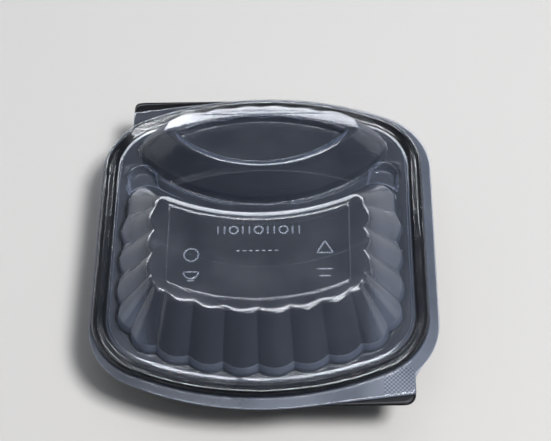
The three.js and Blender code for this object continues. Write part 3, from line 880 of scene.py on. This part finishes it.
def clear_polypropylene(name, tint, face_on, edge_on, curve, gloss, index, milk=0.0):
    """Thermoformed clear polypropylene: a thin film that lets most light straight through, with a
    milky haze that thickens where it is seen edge on, a glossy skin, and the faint draw ripples
    and clouding of sheet stretched over a mould. The share of light that is kept back is
    face_on + (edge_on - face_on) facing^curve, plus `milk` times the sheet's film value, and the
    clouds vary that by 15 % either way. The film value is partly real haze and partly painted
    light: a painted reflection on the dome's foot and painted light on the side lobes and the
    right of the flange."""
    material, tree = blank(name)
    place = add_node(tree, "ShaderNodeTexCoord").outputs["Object"]
    # draw ripples about 9 mm long, clouds about 35 mm across
    ripple = add_node(tree, "ShaderNodeTexNoise", {"Vector": place, "Scale": 110.0, "Detail": 2.0})
    cloud = add_node(tree, "ShaderNodeTexNoise", {"Vector": place, "Scale": 28.0, "Detail": 3.0})
    bump = add_node(tree, "ShaderNodeBump", {
        "Height": ripple.outputs["Fac"], "Strength": 0.06, "Distance": 0.0002,
    })
    rough = add_node(tree, "ShaderNodeMapRange", {
        "Value": cloud.outputs["Fac"], **CLOUD_RANGE, "To Min": gloss * 0.75, "To Max": gloss * 1.35,
    })
    skin = add_node(tree, "ShaderNodeBsdfPrincipled", {
        "Base Color": linear(tint), "Roughness": rough.outputs["Result"], "IOR": index,
        "Normal": bump.outputs["Normal"],
    })
    body = skin.outputs["BSDF"]
    if milk:
        # the haze also passes light on from behind
        glow = add_node(tree, "ShaderNodeBsdfTranslucent", {"Color": linear(tint)})
        mixed = add_node(tree, "ShaderNodeMixShader", {"Fac": 0.45, 1: body, 2: glow.outputs["BSDF"]})
        body = mixed.outputs["Shader"]
    through = add_node(tree, "ShaderNodeBsdfTransparent", {"Color": (0.95, 0.96, 0.975, 1)})
    facing = add_node(tree, "ShaderNodeLayerWeight", {"Blend": 0.5})
    bent = add_node(tree, MATH, {0: facing.outputs["Facing"], 1: curve}, operation="POWER")
    veil = add_node(tree, "ShaderNodeMapRange", {
        "Value": bent.outputs["Value"], "To Min": face_on, "To Max": edge_on,
    })
    clouded = add_node(tree, "ShaderNodeMapRange", {
        "Value": cloud.outputs["Fac"], **CLOUD_RANGE, "To Min": 0.85, "To Max": 1.15,
    })
    # where the sheet is hardly drawn its film is thicker and milkier, and the film value also
    # carries painted light on the dome's foot, the side lobes and the right of the flange; the grip
    # on the front tab is a grid of raised dots, about 1.8 mm apart: sin x sin y inside a box
    film = add_node(tree, "ShaderNodeAttribute", attribute_name="film").outputs["Fac"]
    if milk:
        spot = add_node(tree, "ShaderNodeSeparateXYZ", {"Vector": place})
        waves, bounds = [], []
        for axis, centre, half in (
            ("X", GRIP["x"] + SHIFT[0], GRIP["half_x"]),
            ("Y", GRIP["y"] + SHIFT[1], GRIP["half_y"]),
        ):
            along = spot.outputs[axis]
            rate = math.tau / (GRIP["period"] * MM)
            turns = add_node(tree, MATH, {0: along, 1: rate}, operation="MULTIPLY")
            wave = add_node(tree, MATH, {0: turns.outputs["Value"]}, operation="SINE")
            inside = add_node(tree, MATH, {0: along, 1: centre * MM, 2: half * MM}, operation="COMPARE")
            waves.append(wave.outputs["Value"])
            bounds.append(inside.outputs["Value"])
        dots = add_node(tree, MATH, {0: waves[0], 1: waves[1]}, operation="MULTIPLY").outputs["Value"]
        area = add_node(tree, MATH, {0: bounds[0], 1: bounds[1]}, operation="MULTIPLY").outputs["Value"]
        grip = add_node(tree, MATH, {0: dots, 1: area}, operation="MULTIPLY").outputs["Value"]
        dotted = add_node(tree, MATH, {0: grip, 1: GRIP["milk"], 2: film}, operation="MULTIPLY_ADD")
        film = dotted.outputs["Value"]
    kept = add_node(tree, MATH, {0: film, 1: milk, 2: veil.outputs["Result"]}, operation="MULTIPLY_ADD")
    total = add_node(tree, MATH, {
        0: kept.outputs["Value"], 1: clouded.outputs["Result"],
    }, operation="MULTIPLY", use_clamp=True)
    both = add_node(tree, "ShaderNodeMixShader", {
        "Fac": total.outputs["Value"], 1: through.outputs["BSDF"], 2: body,
    })
    add_node(tree, "ShaderNodeOutputMaterial", {"Surface": both.outputs["Shader"]})
    return material


def black_polypropylene(name, colour):
    """Thermoformed black polypropylene: carbon-black sheet with a soft gloss and a fine
    orange-peel skin from the mould."""
    material, tree = blank(name)
    place = add_node(tree, "ShaderNodeTexCoord").outputs["Object"]
    # orange peel about 1.2 mm across
    peel = add_node(tree, "ShaderNodeTexNoise", {"Vector": place, "Scale": 850.0, "Detail": 1.0})
    wear = add_node(tree, "ShaderNodeTexNoise", {"Vector": place, "Scale": 40.0, "Detail": 4.0})
    bump = add_node(tree, "ShaderNodeBump", {
        "Height": peel.outputs["Fac"], "Strength": 0.15, "Distance": 0.0001,
    })
    rough = add_node(tree, "ShaderNodeMapRange", {
        "Value": wear.outputs["Fac"], **CLOUD_RANGE, "To Min": 0.2, "To Max": 0.28,
    })
    skin = add_node(tree, "ShaderNodeBsdfPrincipled", {
        "Base Color": linear(colour), "Roughness": rough.outputs["Result"], "IOR": 1.49,
        "Specular IOR Level": 0.04, "Normal": bump.outputs["Normal"],
    })
    add_node(tree, "ShaderNodeOutputMaterial", {"Surface": skin.outputs["BSDF"]})
    return material


def painted_board(name, colour):
    """A matt painted table board: almost even, with a faint mottle about 20 cm across."""
    material, tree = blank(name)
    place = add_node(tree, "ShaderNodeTexCoord").outputs["Object"]
    mottle = add_node(tree, "ShaderNodeTexNoise", {"Vector": place, "Scale": 5.0, "Detail": 2.0})
    base = linear(colour)
    dark = tuple(c * 0.98 for c in base[:3]) + (1,)
    shades = {"Factor": mottle.outputs["Fac"], "A": dark, "B": base}
    tone = add_node(tree, "ShaderNodeMix", shades, data_type="RGBA")
    skin = add_node(tree, "ShaderNodeBsdfPrincipled", {
        "Base Color": tone.outputs[2], "Roughness": 0.85, "IOR": 1.45,
    })
    add_node(tree, "ShaderNodeOutputMaterial", {"Surface": skin.outputs["BSDF"]})
    return material


# ------------------------------------------------------------------ the add-on


class ContainerSettings(bpy.types.PropertyGroup):
    """Sizes and colours a user would change."""

    lid_wall: FloatProperty(
        name="Lid wall", description="Thickness of the lid's film",
        default=0.00045, min=0.0001, max=0.0008, unit="LENGTH",
    )
    tray_wall: FloatProperty(
        name="Tray wall", description="Thickness of the tray's sheet",
        default=0.0006, min=0.0001, max=0.0008, unit="LENGTH",
    )
    haze: FloatProperty(
        name="Haze", description="Share of the light that the lid's film scatters edge on",
        default=0.95, min=0.0, max=1.0, subtype="FACTOR",
    )
    gloss: FloatProperty(
        name="Lid roughness", description="Roughness of the lid's skin",
        default=0.14, min=0.0, max=1.0, subtype="FACTOR",
    )
    skin_colour: StringProperty(
        name="Skin colour", description="sRGB hex colour of the lid's glossy outer skin", default="#2A2F38",
    )
    haze_colour: StringProperty(
        name="Haze colour", description="sRGB hex colour of the lid's milky haze", default="#CAD7F2",
    )
    tray_colour: StringProperty(
        name="Tray colour", description="sRGB hex colour of the tray", default="#121316",
    )
    board_colour: StringProperty(
        name="Table colour", description="sRGB hex colour of the table", default="#CCCAC8",
    )


def settle(piece, material, slot, *nodes):
    """Gives a piece its material and its place in the frame."""
    piece.data.materials.append(material)
    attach(piece, "root")
    if nodes:
        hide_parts(*nodes)


class CONTAINER_OT_tray(bpy.types.Operator):
    """Make the black tray with its two bowls"""

    bl_idname = "container.tray"
    bl_label = "Tray"

    def execute(self, context):
        s = context.scene.container
        piece = tray_sheet(s.tray_wall).build("tray_shell", s.tray_wall)
        settle(piece, black_polypropylene("black polypropylene", s.tray_colour), "tray", "tray")
        return {"FINISHED"}


class CONTAINER_OT_lid(bpy.types.Operator):
    """Make the clear lid with its domes, valley, panel and snap rim"""

    bl_idname = "container.lid"
    bl_label = "Lid"

    def execute(self, context):
        s = context.scene.container
        piece = lid_sheet().build("lid_shell", s.lid_wall)
        piece.modifiers["wall"].material_offset = 1
        piece.modifiers["wall"].material_offset_rim = 1
        skin = clear_polypropylene(
            "clear polypropylene, glossy skin", s.skin_colour,
            face_on=0.12, edge_on=0.95, curve=1.5, gloss=s.gloss, index=2.0,
        )
        # the milky core also shows the painted light held in the film value: a painted reflection on the
        # dome's foot and painted light on the side lobes and the right of the flange
        core = clear_polypropylene(
            "clear polypropylene, milky core", s.haze_colour,
            face_on=0.15, edge_on=s.haze, curve=3.0, gloss=0.3, index=1.49, milk=1.0,
        )
        settle(piece, skin, "lid", "lid")
        piece.data.materials.append(core)
        return {"FINISHED"}


class CONTAINER_OT_marks(bpy.types.Operator):
    """Make the plain raised marks on the lid's panel"""

    bl_idname = "container.marks"
    bl_label = "Raised marks"

    def execute(self, context):
        s = context.scene.container
        piece = marks_sheet().build("lid_marks", MARK["wall"])
        skin = clear_polypropylene(
            "clear polypropylene, raised marks", s.haze_colour,
            face_on=0.06, edge_on=0.45, curve=1.0, gloss=0.25, index=1.7,
        )
        settle(piece, skin, "lid")
        return {"FINISHED"}


def soft_light(name, size, place, target, power, colour="#FFFFFF"):
    """A rectangular soft light that faces its target."""
    lamp = bpy.data.lights.new(name, "AREA")
    lamp.shape = "RECTANGLE"
    lamp.size, lamp.size_y = size
    lamp.energy = power
    lamp.color = linear(colour)[:3]
    light = bpy.data.objects.new(name, lamp)
    light.location = place
    light.rotation_euler = (Vector(target) - Vector(place)).to_track_quat("-Z", "Y").to_euler()
    bpy.context.collection.objects.link(light)
    return light


class CONTAINER_OT_stage(bpy.types.Operator):
    """Make the table, the lights and the camera"""

    bl_idname = "container.stage"
    bl_label = "Stage"

    def execute(self, context):
        s = context.scene.container
        middle = (cad_low + cad_high) / 2
        # the table is a level grid of squares
        n = TABLE_STEPS + 1
        steps = np.linspace(-1, 1, n) * TABLE_HALF
        x, y = np.meshgrid(steps + middle.x, steps + middle.y)
        points = np.stack([x.ravel(), y.ravel(), np.full(x.size, cad_low.z)], axis=1)
        i = (np.arange(n - 1)[:, None] * n + np.arange(n - 1)[None, :]).ravel()
        faces = np.stack([i, i + 1, i + n + 1, i + n], axis=1)
        mesh = bpy.data.meshes.new("table")
        mesh.from_pydata(points.tolist(), [], faces.tolist())
        table = bpy.data.objects.new("table", mesh)
        table.data.materials.append(painted_board("painted board", s.board_colour))
        context.collection.objects.link(table)

        for name, (size, place, target, power) in LIGHTS.items():
            soft_light(name, size, place, target, power).visible_glossy = False
        for name, (size, place, power) in CARDS.items():
            soft_light(name, size, place, CARD_TARGET, power, CARD_COLOUR).visible_diffuse = False
        world = bpy.data.worlds.new("room")
        world.use_nodes = True
        world.node_tree.nodes["Background"].inputs["Color"].default_value = linear(ROOM_COLOUR)
        world.node_tree.nodes["Background"].inputs["Strength"].default_value = ROOM_LIGHT
        context.scene.world = world
        context.scene.view_settings.view_transform = "Standard"
        context.scene.cycles.transparent_max_bounces = 24

        # the camera stands in front and above, turned a little about its own axis
        side, rise, roll = (math.radians(CAMERA[key]) for key in ("side", "rise", "roll"))
        back = np.array([math.sin(side) * math.cos(rise), -math.cos(side) * math.cos(rise), math.sin(rise)])
        right = np.array([math.cos(side), math.sin(side), 0.0])
        up = np.array([-math.sin(side) * math.sin(rise), math.cos(side) * math.sin(rise), math.cos(rise)])
        stand = (right * CAMERA["right"] + up * CAMERA["up"] + back * CAMERA["back"] + SHIFT) * MM
        turned_right = right * math.cos(roll) - up * math.sin(roll)
        turned_up = right * math.sin(roll) + up * math.cos(roll)
        lens = bpy.data.cameras.new("camera")
        lens.lens, lens.sensor_width = LENS_LENGTH, SENSOR_WIDTH
        lens.clip_start, lens.clip_end = 0.01, 20.0
        camera = bpy.data.objects.new("camera", lens)
        pose = np.eye(4)
        pose[:3, 0], pose[:3, 1], pose[:3, 2], pose[:3, 3] = turned_right, turned_up, back, stand
        camera.matrix_world = Matrix(pose.tolist())
        context.collection.objects.link(camera)
        context.scene.camera = camera
        return {"FINISHED"}


class CONTAINER_PT_panel(bpy.types.Panel):
    """Lists the container's pieces and settings"""

    bl_label = "Meal container"
    bl_idname = "CONTAINER_PT_panel"
    bl_space_type = "VIEW_3D"
    bl_region_type = "UI"
    bl_category = "Container"

    def draw(self, context):
        for name in ContainerSettings.__annotations__:
            self.layout.prop(context.scene.container, name)
        for operator in OPERATORS:
            self.layout.operator(operator.bl_idname)


OPERATORS = (CONTAINER_OT_stage, CONTAINER_OT_tray, CONTAINER_OT_lid, CONTAINER_OT_marks)
CLASSES = (ContainerSettings, *OPERATORS, CONTAINER_PT_panel)


def register():
    for item in CLASSES:
        bpy.utils.register_class(item)
    bpy.types.Scene.container = PointerProperty(type=ContainerSettings)


def unregister():
    del bpy.types.Scene.container
    for item in reversed(CLASSES):
        bpy.utils.unregister_class(item)


def main():
    """Registers the add-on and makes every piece."""
    register()
    bpy.ops.container.stage()
    bpy.ops.container.tray()
    bpy.ops.container.lid()
    bpy.ops.container.marks()
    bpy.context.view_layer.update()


if __name__ == "__main__":
    main()
